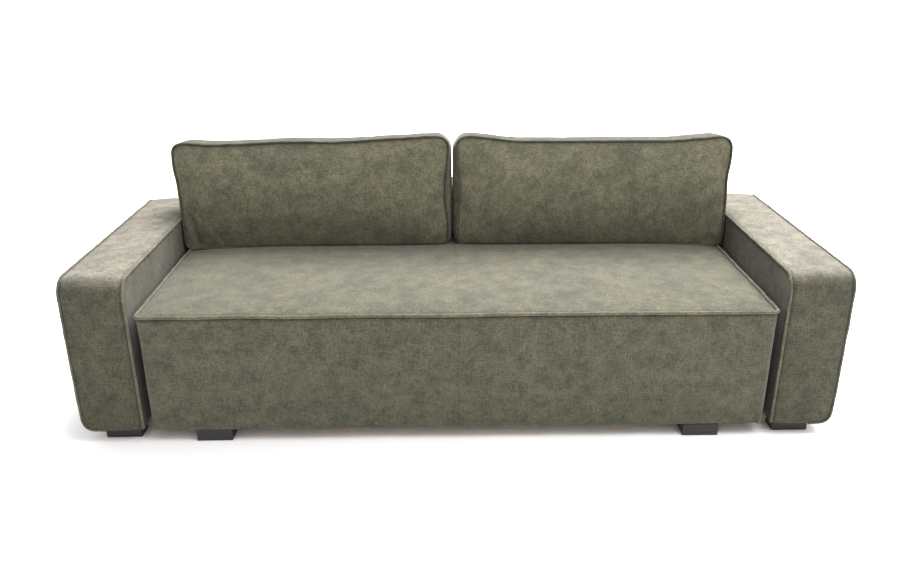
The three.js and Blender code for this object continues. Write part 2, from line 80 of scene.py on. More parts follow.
# Primes and a mask that scatter the lattice noise
NOISE_PRIMES = np.array([73856093, 19349663, 83492791])
SEED_PRIME = 40503
MIX_PRIME = 1274126177
NOISE_MASK = 0x7FFFFFFF


# ---------------------------------------------------------------- small tools

def lattice_noise(points, size, seed):
    """Smooth noise from -1 to 1 that changes over about `size` metres, a number or one per axis."""
    cell = points / np.asarray(size)
    base = np.floor(cell).astype(np.int64)
    part = cell - base
    part = part * part * (3 - 2 * part)
    total = np.zeros(len(points))
    for corner in range(8):
        step = np.array([corner & 1, corner >> 1 & 1, corner >> 2 & 1])
        weight = np.prod(np.where(step, part, 1 - part), axis=1)
        key = (base + step) @ NOISE_PRIMES + seed * SEED_PRIME
        key = (key ^ (key >> 13)) * MIX_PRIME & NOISE_MASK
        key ^= key >> 15
        total += weight * (key % 65536 / 32767.5 - 1)
    return total


def rounded_outline(corners, step=0.008):
    """Points along a closed polygon of (a, b, radius) corners, with its corners rounded."""
    count = len(corners)
    points = []
    for i, (a, b, radius) in enumerate(corners):
        corner = np.array([a, b])
        before = np.array(corners[i - 1][:2]) - corner
        after = np.array(corners[(i + 1) % count][:2]) - corner
        before, after = before / np.linalg.norm(before), after / np.linalg.norm(after)
        half = math.acos(np.clip(before @ after, -1, 1)) / 2
        setback = radius / math.tan(half)
        bisector = (before + after) / np.linalg.norm(before + after)
        centre = corner + bisector * radius / math.sin(half)
        turn = math.pi - 2 * half
        steps = max(2, round(radius * turn / step * 1.5)) if radius else 0
        start, end = corner + before * setback - centre, corner + after * setback - centre
        for k in range(steps + 1):
            share = k / steps if steps else 0
            blend = start * math.sin((1 - share) * turn) + end * math.sin(share * turn)
            points.append(centre + blend / math.sin(turn) if steps else corner)
    return np.array(points)


def lengths_along(path):
    """How far each point of a path lies from its start."""
    return np.concatenate([[0], np.cumsum(np.linalg.norm(np.diff(path, axis=0), axis=1))])


def even(points, count):
    """The closed path again, as `count` points."""
    path = np.vstack([points, points[:1]])
    along = lengths_along(path)
    wanted = np.linspace(0, along[-1], count + 1)[:-1]
    return np.stack([np.interp(wanted, along, path[:, k]) for k in range(path.shape[1])], axis=1)


def resample(points, step):
    """The closed path again, with points about `step` apart."""
    length = lengths_along(np.vstack([points, points[:1]]))[-1]
    return even(points, max(4, round(length / step)))


def smooth_closed(values):
    return (np.roll(values, 1, axis=0) + 2 * values + np.roll(values, -1, axis=0)) / 4


def smooth_open(values, rounds):
    """Smooths the values between the first and the last, which stay."""
    values = values.copy()
    for _ in range(rounds):
        values[1:-1] = (values[:-2] + 2 * values[1:-1] + values[2:]) / 4
    return values


def bump(value, width):
    return np.exp(-(value / width) ** 2)


def coordinates(mesh, what="co"):
    source = mesh.vertices if what == "co" else mesh.vertex_normals
    values = np.empty(len(mesh.vertices) * 3)
    source.foreach_get("co" if what == "co" else "vector", values)
    return values.reshape(-1, 3)


def set_coordinates(mesh, points):
    mesh.vertices.foreach_set("co", np.ascontiguousarray(points, dtype=np.float32).ravel())
    mesh.update()


def mesh_object(name, points, faces, material):
    mesh = bpy.data.meshes.new(name)
    mesh.from_pydata([tuple(p) for p in points], [], faces)
    mesh.validate()
    mesh.shade_smooth()
    made = bpy.data.objects.new(name, mesh)
    bpy.context.scene.collection.objects.link(made)
    mesh.materials.append(material)
    return made


def loft(name, sections, material):
    """A closed body through equal rings of points, with a flat end on the first and last ring."""
    count = len(sections[0])
    faces = []
    for s in range(len(sections) - 1):
        for i in range(count):
            j = (i + 1) % count
            faces.append((s * count + i, s * count + j, (s + 1) * count + j, (s + 1) * count + i))
    faces.append(tuple(range(count))[::-1])
    faces.append(tuple(range((len(sections) - 1) * count, len(sections) * count)))
    made = mesh_object(name, np.vstack(sections), faces, material)
    outward(made)
    return made


def outward(made):
    work = bmesh.new()
    work.from_mesh(made.data)
    bmesh.ops.recalc_face_normals(work, faces=work.faces)
    work.to_mesh(made.data)
    work.free()


def voxel_remesh(made, size):
    """Rebuilds the mesh from even cells of `size`, in place."""
    modifier = made.modifiers.new("cells", "REMESH")
    modifier.mode = "VOXEL"
    modifier.voxel_size = size
    modifier.use_smooth_shade = True
    bake(made)


def bake(made):
    """Applies the object's modifiers."""
    depsgraph = bpy.context.evaluated_depsgraph_get()
    mesh = bpy.data.meshes.new_from_object(made.evaluated_get(depsgraph))
    old = made.data
    materials = list(old.materials)
    made.modifiers.clear()
    made.data = mesh
    mesh.materials.clear()
    for material in materials:
        mesh.materials.append(material)
    bpy.data.meshes.remove(old)


def relax(mesh, rounds):
    """Moves each vertex halfway to its neighbours' middle in each round, which rounds the edges."""
    edges = np.empty(len(mesh.edges) * 2, dtype=np.int64)
    mesh.edges.foreach_get("vertices", edges)
    a, b = edges.reshape(-1, 2).T
    points = coordinates(mesh)
    degree = np.bincount(np.concatenate([a, b]), minlength=len(points))[:, None]
    for _ in range(rounds):
        total = np.zeros_like(points)
        for k in range(3):
            total[:, k] = np.bincount(a, points[b, k], len(points))
            total[:, k] += np.bincount(b, points[a, k], len(points))
        points += 0.5 * (total / np.maximum(degree, 1) - points)
    set_coordinates(mesh, points)


def nearest_on_path(points, path):
    """For each point, its distance to the closest point of the path and that point's number."""
    distance = np.empty(len(points))
    number = np.empty(len(points), dtype=np.int64)
    for start in range(0, len(points), 4000):
        gaps = np.linalg.norm(points[start:start + 4000, None] - path[None], axis=2)
        number[start:start + 4000] = gaps.argmin(axis=1)
        distance[start:start + 4000] = gaps.min(axis=1)
    return distance, number


def sew(made, paths, depth, width, pucker, reach=0.025, seed=1):
    """Draws the cloth in along each seam, with small puckers across it, and paints shade beside it, marked on
    the mesh for the material.
    """
    mesh = made.data
    points, normals = coordinates(mesh), coordinates(mesh, "normal")
    painted_shade = np.zeros(len(points))
    for path in paths:
        distance, number = nearest_on_path(points, path)
        along = lengths_along(path)[number]
        line = np.column_stack([along, np.zeros(len(along)), np.zeros(len(along))])
        gather = lattice_noise(line, PUCKER_LENGTHS[0], seed)
        gather = gather + 0.6 * lattice_noise(line, PUCKER_LENGTHS[1], seed + 1)
        raised = pucker * gather * np.exp(-distance / reach) - depth * bump(distance, width)
        points += normals * raised[:, None]
        painted_shade = np.maximum(painted_shade, bump(distance, SEAM_PAINTED_SHADE[1]))
    set_coordinates(mesh, points)
    mark_painted_shade(mesh, painted_shade * SEAM_PAINTED_SHADE[0])


def mark_painted_shade(mesh, values):
    """Writes the painted shade of each vertex's cloth, from 0 to 1."""
    layer = mesh.attributes.get("painted_shade") or mesh.attributes.new("painted_shade", "FLOAT", "POINT")
    layer.data.foreach_set("value", np.ascontiguousarray(values, dtype=np.float32))


def add_painted_shade(mesh, values):
    """Paints more shade on the cloth where the values are higher than the shade already painted."""
    marked = np.empty(len(mesh.vertices))
    mesh.attributes["painted_shade"].data.foreach_get("value", marked)
    mark_painted_shade(mesh, np.maximum(marked, values))


def paint_seam_shade(made, seams, share, width):
    """Paints shade on the cloth beside each seam."""
    for seam in seams:
        add_painted_shade(made.data, share * bump(nearest_on_path(coordinates(made.data), seam)[0], width))


def tube(name, path, radius, material, closed):
    """A round cord along a path of points."""
    count, sides = len(path), CORD_SIDES
    ahead = np.roll(path, -1, axis=0) - np.roll(path, 1, axis=0)
    if not closed:
        ahead[0], ahead[-1] = path[1] - path[0], path[-1] - path[-2]
    ahead /= np.linalg.norm(ahead, axis=1)[:, None]
    across = np.zeros_like(path)
    first = np.cross(ahead[0], [0.31, 0.52, 0.79])
    across[0] = first / np.linalg.norm(first)
    for i in range(1, count):
        turned = across[i - 1] - ahead[i] * (across[i - 1] @ ahead[i])
        across[i] = turned / np.linalg.norm(turned)
    other = np.cross(ahead, across)
    angles = np.arange(sides) * 2 * math.pi / sides
    rings = path[:, None] + radius * (
        across[:, None] * np.cos(angles)[None, :, None] + other[:, None] * np.sin(angles)[None, :, None])
    rings = list(rings)
    if not closed:
        rings = [path[0] + (rings[0] - path[0]) * 0.5 - ahead[0] * radius * 0.6] + rings
        rings.append(path[-1] + (rings[-1] - path[-1]) * 0.5 + ahead[-1] * radius * 0.6)
        return loft(name, rings, material)
    shift = int(np.argmin(np.linalg.norm(rings[-1] - rings[0][0], axis=1)))
    rings = rings + [np.roll(rings[0], shift, axis=0)]
    faces = []
    for s in range(count):
        for i in range(sides):
            j = (i + 1) % sides
            up = (s + 1) * sides
            if s == count - 1:
                a, b = (i - shift) % sides, (j - shift) % sides
                faces.append((s * sides + i, s * sides + j, b, a))
            else:
                faces.append((s * sides + i, s * sides + j, up + j, up + i))
    made = mesh_object(name, np.vstack(rings[:-1]), faces, material)
    outward(made)
    return made


def piping(name, parent, path, material, body, closed=True, proud=0.75, radius=PIPING):
    """A covered cord sewn along a seam: it lies on the parent's surface, with painted shade on the cord where
    the two meet.
    """
    tree = BVHTree.FromObject(parent, bpy.context.evaluated_depsgraph_get())

    def above(point):
        place, normal, _, _ = tree.find_nearest(Vector(point))
        return place, normal

    laid = []
    for point in path:
        place, normal = above(point)
        laid.append(place + normal * radius * proud)
    laid = np.array(laid)
    for _ in range(2):
        laid = smooth_closed(laid) if closed else smooth_open(laid, 1)
    made = tube(name, laid, radius, material, closed)
    heights = []
    for vertex in made.data.vertices:
        place, normal = above(vertex.co)
        heights.append((vertex.co - place).dot(normal))
    # Painted shade on the cord where it meets the cloth beneath it
    mark_painted_shade(made.data, np.clip(1 - np.array(heights) / (radius * 0.9), 0, 1) ** 0.7)
    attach(made, body)


# ---------------------------------------------------------------- materials

class Nodes:
    """Short calls for building a material's node tree."""

    def __init__(self, name):
        self.material = bpy.data.materials.new(name)
        self.material.use_nodes = True
        self.tree = self.material.node_tree
        self.shader = self.tree.nodes["Principled BSDF"]
        place = self.tree.nodes.new("ShaderNodeTexCoord")
        self.place = place.outputs["Object"]

    def make(self, kind, **values):
        node = self.tree.nodes.new(kind)
        for key, value in values.items():
            setattr(node, key, value)
        return node

    def link(self, source, target):
        self.tree.links.new(source, target)

    def scaled(self, scale, place=(0, 0, 0)):
        node = self.make("ShaderNodeMapping")
        node.inputs["Scale"].default_value = scale
        node.inputs["Location"].default_value = place
        self.link(self.place, node.inputs["Vector"])
        return node.outputs["Vector"]

    def noise(self, scale, detail=3.0, roughness=0.55, vector=None, distortion=0.0):
        node = self.make("ShaderNodeTexNoise")
        node.inputs["Scale"].default_value = scale
        node.inputs["Detail"].default_value = detail
        node.inputs["Roughness"].default_value = roughness
        node.inputs["Distortion"].default_value = distortion
        self.link(vector or self.place, node.inputs["Vector"])
        return node.outputs["Fac"]

    def attribute(self, name):
        return self.make("ShaderNodeAttribute", attribute_name=name).outputs["Fac"]

    def wave(self, scale, direction, distortion):
        node = self.make("ShaderNodeTexWave", bands_direction=direction)
        node.inputs["Scale"].default_value = scale
        node.inputs["Distortion"].default_value = distortion
        node.inputs["Detail"].default_value = 1.0
        self.link(self.place, node.inputs["Vector"])
        return node.outputs["Fac"]

    def ramp(self, value, *stops):
        node = self.make("ShaderNodeValToRGB")
        elements = node.color_ramp.elements
        while len(elements) < len(stops):
            elements.new(0.5)
        for element, (position, color) in zip(elements, stops):
            element.position = position
            element.color = (*color, 1)
        self.link(value, node.inputs["Fac"])
        return node.outputs["Color"]

    def maths(self, operation, a, b, clamp=False):
        node = self.make("ShaderNodeMath", operation=operation, use_clamp=clamp)
        for socket, value in zip(node.inputs, (a, b)):
            if isinstance(value, (int, float)):
                socket.default_value = value
            else:
                self.link(value, socket)
        return node.outputs["Value"]

    def mix(self, a, b, share, blend="MIX"):
        node = self.make("ShaderNodeMix", data_type="RGBA", blend_type=blend)
        for socket, value in ((node.inputs[6], a), (node.inputs[7], b), (node.inputs[0], share)):
            if isinstance(value, tuple):
                socket.default_value = (*value, 1)
            elif isinstance(value, (int, float)):
                socket.default_value = value
            else:
                self.link(value, socket)
        return node.outputs[2]

    def remap(self, value, low, high):
        node = self.make("ShaderNodeMapRange")
        node.inputs["To Min"].default_value = low
        node.inputs["To Max"].default_value = high
        self.link(value, node.inputs["Value"])
        return node.outputs["Result"]

    def relief(self, height, distance, strength=1.0, under=None):
        node = self.make("ShaderNodeBump")
        node.inputs["Distance"].default_value = distance
        node.inputs["Strength"].default_value = strength
        self.link(height, node.inputs["Height"])
        if under:
            self.link(under, node.inputs["Normal"])
        return node.outputs["Normal"]

    def finish(self, color, roughness, normal=None, **fixed):
        self.link(color, self.shader.inputs["Base Color"])
        if isinstance(roughness, float):
            self.shader.inputs["Roughness"].default_value = roughness
        else:
            self.link(roughness, self.shader.inputs["Roughness"])
        if normal:
            self.link(normal, self.shader.inputs["Normal"])
        for key, value in fixed.items():
            self.shader.inputs[key.replace("_", " ")].default_value = value
        return self.material


def velour(name, shade, sheen, painted_top_tone=None):
    """Flat-pile velour, mottled olive, grey and brown, over a fine crossed weave, with painted shade where
    its mesh marks it.

    Where the cloth faces up its color is multiplied by the painted top tone: painted light where the tone is
    above 1, painted shade where it is below 1.
    """
    n = Nodes(name)

    # The shade scales every colour, making the velour copies lit and shaded copies of one cloth: painted
    # light and shade
    def tone(r, g, b):
        return (r * shade, g * shade, b * shade)

    mottle = n.noise(19.0, 6.0, 0.66)
    base = n.ramp(mottle, (0.34, tone(0.062, 0.061, 0.041)), (0.46, tone(0.078, 0.075, 0.050)),
                  (0.54, tone(0.091, 0.086, 0.057)), (0.68, tone(0.105, 0.099, 0.068)))
    drift = n.noise(5.5, 4.0, 0.6, n.scaled((1, 1, 1), (7, 3, 5)))
    tint = n.ramp(drift, (0.36, (0.88, 0.91, 0.92)), (0.50, (1.0, 1.0, 1.0)), (0.64, (1.07, 1.055, 1.045)))
    color = n.mix(base, tint, 1.0, "MULTIPLY")
    stretches = ((280, 280, 50), (50, 280, 280), (280, 50, 280))
    streaks = [n.noise(1.0, 3.0, 0.75, n.scaled(stretch)) for stretch in stretches]
    cross = n.maths("ADD", n.maths("ADD", streaks[0], streaks[1]), streaks[2])
    grain = n.ramp(n.maths("MULTIPLY", cross, 1 / 3), (0.44, (0.64, 0.65, 0.66)), (0.56, (1.36, 1.35, 1.32)))
    color = n.mix(color, grain, 1.0, "MULTIPLY")
    # Painted light and shade on faces that point up: lighter tops on the arms, darker tops on the cushions
    if painted_top_tone:
        surface = n.make("ShaderNodeNewGeometry")
        split = n.make("ShaderNodeSeparateXYZ")
        n.link(surface.outputs["True Normal"], split.inputs["Vector"])
        upward = n.maths("POWER", n.maths("MAXIMUM", split.outputs["Z"], 0.0), 2.0)
        color = n.mix(color, n.mix(color, painted_top_tone, 1.0, "MULTIPLY"), upward)
    # Painted shade: the colour darkens towards near black where the mesh's painted shade attribute is marked
    painted_shade = n.attribute("painted_shade")
    color = n.mix(color, tone(0.016, 0.016, 0.012), n.maths("MULTIPLY", painted_shade, 0.9, True))
    threads = [n.wave(118.0, axis, 0.5) for axis in "XYZ"]
    weave = n.maths("ADD", n.maths("ADD", threads[0], threads[1]), threads[2])
    pile = n.maths("ADD", n.maths("MULTIPLY", weave, 0.22), cross)
    crushed = n.relief(n.noise(30.0, 3.0, 0.6), 0.0010, 0.35)
    normal = n.relief(pile, 0.0006, 0.6, crushed)
    roughness = n.remap(mottle, 0.95, 0.75)
    return n.finish(color, roughness, normal, Sheen_Weight=sheen, Sheen_Roughness=0.45,
                    Sheen_Tint=(0.95, 0.93, 0.89, 1), Specular_IOR_Level=0.2)


def timber(name, light, dark, along, rings=9.0, roughness=0.6, coat=0.0):
    """Sawn or stained wood whose grain runs along an axis."""
    n = Nodes(name)
    stretch = [rings * 4.0] * 3
    stretch[along] = rings * 0.22
    figure = n.noise(1.0, 5.0, 0.6, n.scaled(tuple(stretch)), 0.8)
    pores = [420.0] * 3
    pores[along] = 16.0
    fine = n.noise(1.0, 3.0, 0.7, n.scaled(tuple(pores)))
    between = tuple((a + b) / 2 for a, b in zip(light, dark))
    color = n.ramp(figure, (0.32, dark), (0.52, between), (0.68, light))
    color = n.mix(color, n.ramp(fine, (0.35, (0.80, 0.78, 0.75)), (0.6, (1.06, 1.05, 1.04))), 0.7, "MULTIPLY")
    normal = n.relief(fine, 0.0004, 0.45)
    return n.finish(color, n.remap(fine, roughness + 0.12, roughness - 0.06), normal,
                    Coat_Weight=coat, Coat_Roughness=0.25)


def plated_steel(name):
    n = Nodes(name)
    cloud = n.noise(60.0, 4.0, 0.6)
    scratch = n.noise(1.0, 3.0, 0.7, n.scaled((40, 900, 300)))
    color = n.ramp(cloud, (0.35, (0.50, 0.51, 0.52)), (0.65, (0.64, 0.65, 0.66)))
    normal = n.relief(scratch, 0.0002, 0.4)
    return n.finish(color, n.remap(cloud, 0.28, 0.46), normal, Metallic=1.0)


def moulded_plastic(name):
    n = Nodes(name)
    speck = n.noise(700.0, 2.0, 0.6)
    scuffs = n.noise(55.0, 5.0, 0.7)
    color = n.ramp(scuffs, (0.4, (0.016, 0.016, 0.018)), (0.72, (0.05, 0.048, 0.046)))
    return n.finish(color, n.remap(scuffs, 0.38, 0.6), n.relief(speck, 0.0002, 0.5))


def paper_floor(name):
    n = Nodes(name)
    color = n.ramp(n.noise(0.6, 2.0, 0.5), (0.3, (0.91, 0.91, 0.91)), (0.7, (0.93, 0.93, 0.93)))
    return n.finish(color, 0.8)


# Lit and shaded copies of one velour: each has its shade (its painted brightness), its sheen and, where it
# faces up, its painted top tone
CLOTH = velour("velour", 0.71, 0.29)
CLOTH_BACK = velour("velour_back", 1.30, 0.18, (0.36, 0.36, 0.39))
CLOTH_ARM = velour("velour_arm", 0.60, 0.14, (2.40, 2.30, 2.80))
CLOTH_SEAM = velour("velour_piping", 0.98, 0.25)
CLOTH_SEAM_BACK = velour("velour_back_piping", 0.62, 0.15)
PINE = timber("pine", (0.62, 0.44, 0.25), (0.46, 0.29, 0.14), 0)
BIRCH = timber("birch_plywood", (0.60, 0.46, 0.30), (0.49, 0.35, 0.20), 1, 6.0)
WENGE = timber("wenge_stain", (0.017, 0.009, 0.011), (0.006, 0.003, 0.004), 0, 14.0, 0.5, 0.12)
STEEL = plated_steel("zinc_plated_steel")
NYLON = moulded_plastic("black_nylon")


# ---------------------------------------------------------------- arms

ARM_FRONT_RADIUS = 0.055
ARM_REAR_RADIUS = 0.030
ARM_SWELL_OUTER = 0.006
ARM_SWELL_INNER = 0.001           # the cushions slide past it
ARM_FOOT_ROUND = (0.042, 0.056)   # the cover's lower outer edge, across and up
ARM_LIFT = 0.0015                 # the cover's lower edge over the CAD's
ARM_LOWER_CORNER = 0.006
ARM_STRIP_SWELL = 0.0055          # of the strip along the front, the top and the rear
ARM_WAVES = (0.0013, 0.0005)
ARM_WAVE_LENGTHS = (0.13, 0.045)
ARM_PUCKER = 0.0007
ARM_SEAM = (0.0022, 0.008, 0.0008)
# Painted shade beside the arm's seams: how dark, and over what distance
ARM_SEAM_PAINTED_SHADE = (0.8, 0.0095)
ARM_INNER_PAINTED_SHADE = 0.75          # painted shade on the inner side where the seat stands beside it


def arm_outline(lo, hi):
    return rounded_outline([
        (lo[1], lo[2] + ARM_LIFT, ARM_LOWER_CORNER),
        (hi[1], lo[2] + ARM_LIFT, ARM_LOWER_CORNER),
        (hi[1], hi[2], ARM_REAR_RADIUS),
        (lo[1], hi[2], ARM_FRONT_RADIUS)])


def round_foot(points, side, outer, bottom):
    """Rounds the arm's lower outer edge."""
    across, up = ARM_FOOT_ROUND
    p = (across - (outer - side * points[:, 0])) / across
    q = (up - (points[:, 2] - bottom)) / up
    r = np.hypot(np.maximum(p, 0), np.maximum(q, 0))
    over = (p > 0) & (q > 0) & (r > 1)
    moved = points.copy()
    moved[over, 0] = side * (outer - across * (1 - p[over] / r[over]))
    moved[over, 2] = bottom + up * (1 - q[over] / r[over])
    return moved


def arm(side, suffix):
    node = f"arm_cover_{suffix}"
    lo, hi = (np.array(c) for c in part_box(node))
    middle, half = (lo + hi) / 2, (hi - lo) / 2
    bottom = lo[2] + ARM_LIFT
    outer, inner = (hi[0], lo[0]) if side > 0 else (lo[0], hi[0])
    outline = arm_outline(lo, hi)
    ends = [np.column_stack([np.full(len(outline), x), outline]) for x in (lo[0], hi[0])]
    made = loft(f"arm_upholstery_{suffix}", ends, CLOTH_ARM)
    voxel_remesh(made, ARM_VOXEL)
    relax(made.data, 4)

    points, normals = coordinates(made.data), coordinates(made.data, "normal")
    u, v, w = ((points - middle) / half).T
    strip = ARM_STRIP_SWELL * (1 - u ** 2) * (np.abs(normals[:, 1]) + np.maximum(normals[:, 2], 0))
    swell = np.where(side * normals[:, 0] > 0, ARM_SWELL_OUTER, ARM_SWELL_INNER)
    panel = swell * (1 - np.abs(v) ** 3) * (1 - np.abs(w) ** 3) * np.abs(normals[:, 0])
    waves = ARM_WAVES[0] * lattice_noise(points, ARM_WAVE_LENGTHS[0], 11 + side)
    waves = waves + ARM_WAVES[1] * lattice_noise(points, ARM_WAVE_LENGTHS[1], 21 + side)
    edge = (1 - np.abs(u)) * half[0]
    pucker = ARM_PUCKER * np.exp(-edge / 0.022) * lattice_noise(points, (1.0, 0.016, 0.016), 31 + side)
    calm = np.where(side * normals[:, 0] < -0.5, 0.5, 1.0)
    points += normals * (strip + panel + (waves + pucker) * calm)[:, None]
    points = round_foot(points, side, side * outer, bottom)
    set_coordinates(made.data, points)

    run = resample(outline, 0.008)
    run = run[run[:, 1] > bottom + 0.004]
    start = int(np.argmax(np.linalg.norm(np.diff(run, axis=0), axis=1))) + 1
    run = np.roll(run, -start, axis=0)
    if run[0, 0] < run[-1, 0]:
        run = run[::-1]
    seams = {"inner": np.column_stack([np.full(len(run), inner), run])}
    across, up = ARM_FOOT_ROUND
    run = run[run[:, 1] > bottom + up]
    corner = []
    for angle in np.linspace(math.pi / 2, 0, 9)[1:]:
        corner.append((outer - side * across * (1 - math.sin(angle)), bottom + up * (1 - math.cos(angle))))
    corner += [(corner[-1][0] - side * 0.008 * k, bottom) for k in (1, 2, 3, 4)]
    foot = [np.array([(x, y, z) for x, z in corner]) for y in (hi[1], lo[1])]
    seams["outer"] = np.vstack([foot[0][::-1], np.column_stack([np.full(len(run), outer), run]), foot[1]])
    # Both calls paint shade on the cloth beside the seams.
    sew(made, seams.values(), *ARM_SEAM)
    paint_seam_shade(made, seams.values(), *ARM_SEAM_PAINTED_SHADE)
    points, normals = coordinates(made.data), coordinates(made.data, "normal")
    # Painted shade on the inner side below the seat's top, where the seat stands beside it
    beside_seat = np.clip((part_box("seat_pad")[1][2] + 0.004 - points[:, 2]) / 0.012, 0, 1)
    facing = np.clip(-side * normals[:, 0] * 2 - 1, 0, 1)
    add_painted_shade(made.data, ARM_INNER_PAINTED_SHADE * beside_seat * facing)
    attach(made, "base")
    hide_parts(node)
    for name, seam in seams.items():
        piping(f"arm_piping_{name}_{suffix}", made, seam, CLOTH_SEAM, "base", closed=False)


# ---------------------------------------------------------------- seat unit

SEAT_CORNER = 0.019
SEAT_CROWN = 0.016
SEAT_CROWN_DEPTHS = (0, 0.30, 0.52, 0.66, 0.80)       # how far behind the front edge
SEAT_CROWN_SHARES = (0.9, 1.0, 0.85, 0.3, 0.1)        # and how much of the crown stands there
SEAT_RIM = 0.006                  # how round the ends of the top are
SEAT_FRONT_SWELL = 0.007
SEAT_EDGE_WANDER = (0.0026, 0.0008)
SEAT_EDGE_LENGTHS = (0.17, 0.05)
SEAT_SECTIONS = 244
SEAT_END_STEPS = (0.0, 0.0006, 0.0024, 0.0055, 0.010, 0.0155, 0.022)
SEAT_WAVES = (0.0020, 0.0009)
SEAT_WAVE_LENGTHS = (0.22, 0.07)
SEAT_SEAM = (0.0024, 0.008, 0.0009, 0.03)
# Painted shade beside the seat's seam: how dark, and over what distance
SEAT_SEAM_PAINTED_SHADE = (0.85, 0.0105)
SEAT_PIPING = PIPING * 1.3
SEAT_PIPING_PROUD = 1.0           # how far the cord stands out, in radii
MIDDLE_SEAM_DEPTH = 0.0016
# Painted shade along the seat's middle seam: how dark, and over what width below
MIDDLE_SEAM_PAINTED_SHADE = 0.28
MIDDLE_SEAM_WIDTH = 0.0024
MIDDLE_SEAM_RINGS = (-0.0022, -0.0008, 0.0008, 0.0022)


def seat_edge(x):
    """How the seat's front seam wanders up and down."""
    line = np.column_stack([x, np.zeros(len(x)), np.zeros(len(x))])
    slow = SEAT_EDGE_WANDER[0] * lattice_noise(line, SEAT_EDGE_LENGTHS[0], 3)
    return slow + SEAT_EDGE_WANDER[1] * lattice_noise(line, SEAT_EDGE_LENGTHS[1], 4)


def seat_crown(x, depth, half):
    """How high the seat's top stands over its edge."""
    across = 1 - np.abs(x / half) ** 12
    along = (1 - np.exp(-depth / 0.05)) * np.interp(depth, SEAT_CROWN_DEPTHS, SEAT_CROWN_SHARES)
    return SEAT_CROWN * across * along


def seat():
    pad_lo, pad_hi = (np.array(c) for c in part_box("seat_pad"))
    front_lo, front_hi = (np.array(c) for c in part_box("seat_front_padding"))
    frame_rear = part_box("seat_deck")[1][1]
    half = pad_hi[0]
    front = front_lo[1]
    skirt = front_hi[1]
    bottom = front_lo[2] + 0.001
    top = pad_hi[2]
    outline = rounded_outline([
        (front, bottom, 0.004),
        (skirt, bottom, 0.004),
        (skirt, pad_lo[2], 0),
        (frame_rear, pad_lo[2], 0.004),
        (pad_hi[1], top - 0.015, 0.010),
        (pad_hi[1] - 0.001, top, 0.006),
        (front, top, 0.007)])
    outline = resample(outline, 0.008)
    body = np.linspace(-half + 0.03, half - 0.03, SEAT_SECTIONS)
    body = np.sort(np.concatenate([body, MIDDLE_SEAM_RINGS]))
    turn = np.array(SEAT_END_STEPS)
    stations = np.concatenate([-half + turn, body, half - turn[::-1]])
    sections = []
    for x in stations:
        ring = np.column_stack([np.full(len(outline), x), outline])
        inset = max(0.0, abs(x) - (half - SEAT_CORNER))
        setback = SEAT_CORNER - math.sqrt(max(SEAT_CORNER ** 2 - inset ** 2, 0))
        nearness = np.clip(1 - (ring[:, 1] - front) / 0.10, 0, 1)
        ring[:, 1] += setback * nearness
        rim = max(0.0, abs(x) - (half - SEAT_RIM))
        drop = SEAT_RIM - math.sqrt(max(SEAT_RIM ** 2 - rim ** 2, 0))
        ring[:, 2] -= drop * (ring[:, 2] > top - 0.03)
        sections.append(ring)
    made = loft("seat_upholstery", sections, CLOTH)

    points, normals = coordinates(made.data), coordinates(made.data, "normal")
    x, y, z = points.T
    depth = y - front
    up, ahead = np.maximum(normals[:, 2], 0), np.maximum(-normals[:, 1], 0)
    on_top = up * (z > top - 0.04)
    on_front = ahead * (depth < 0.05)
    lift = seat_crown(x, depth, half) * on_top
    swell = SEAT_FRONT_SWELL * np.sin(np.clip((z - bottom) / (top - bottom), 0, 1) * math.pi) ** 0.7
    swell *= 1 - np.abs(x / half) ** 8
    waves = SEAT_WAVES[0] * lattice_noise(points, SEAT_WAVE_LENGTHS[0], 5)
    waves = waves + SEAT_WAVES[1] * lattice_noise(points, SEAT_WAVE_LENGTHS[1], 6)
    rim = np.abs(z - top)
    pucker = 0.0009 * np.exp(-depth / 0.03) * lattice_noise(points, (0.020, 0.9, 0.9), 7) * on_top
    pucker += 0.0008 * np.exp(-rim / 0.035) * lattice_noise(points, (0.024, 0.9, 0.9), 8) * on_front
    hem = 0.0015 * np.exp(-(z - bottom) / 0.03) * lattice_noise(points, (0.16, 0.9, 0.9), 9)
    middle_seam = -MIDDLE_SEAM_DEPTH * bump(x, 0.006) * on_top
    outer = (on_top + on_front > 0.2)
    points += normals * (lift + swell * on_front + (waves + pucker) * outer + middle_seam)[:, None]
    points[:, 2] += hem * (z < bottom + 0.08)
    points[:, 2] += seat_edge(x) * np.exp(-np.abs(top - z) / 0.06) * np.exp(-depth / 0.06)
    set_coordinates(made.data, points)

    rear = pad_hi[1] - 0.03
    side_run = np.linspace(rear, front + SEAT_CORNER, 90)
    arc = np.linspace(0, math.pi / 2, 8)[1:-1]
    left = [(-half, y) for y in side_run]
    left += [(-half + SEAT_CORNER * (1 - math.cos(a)), front + SEAT_CORNER * (1 - math.sin(a))) for a in arc]
    across = [(x, front) for x in np.linspace(-half + SEAT_CORNER, half - SEAT_CORNER, 240)]
    plan = np.array(left + across + [(-x, y) for x, y in reversed(left)])
    seam = np.column_stack([plan, top + seat_edge(plan[:, 0]) * np.exp(-(plan[:, 1] - front) / 0.06)])
    # Both calls paint shade on the cloth beside the seam.
    sew(made, [seam], *SEAT_SEAM)
    paint_seam_shade(made, [seam], *SEAT_SEAM_PAINTED_SHADE)
    # Painted shade along the middle seam of the top and front
    add_painted_shade(made.data, MIDDLE_SEAM_PAINTED_SHADE * bump(x, MIDDLE_SEAM_WIDTH) * (on_top + on_front > 0.3))
    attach(made, "seat_unit")
    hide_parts("seat_pad", "seat_front_padding")
    piping("seat_piping", made, seam, CLOTH_SEAM, "seat_unit", closed=False,
           proud=SEAT_PIPING_PROUD, radius=SEAT_PIPING)


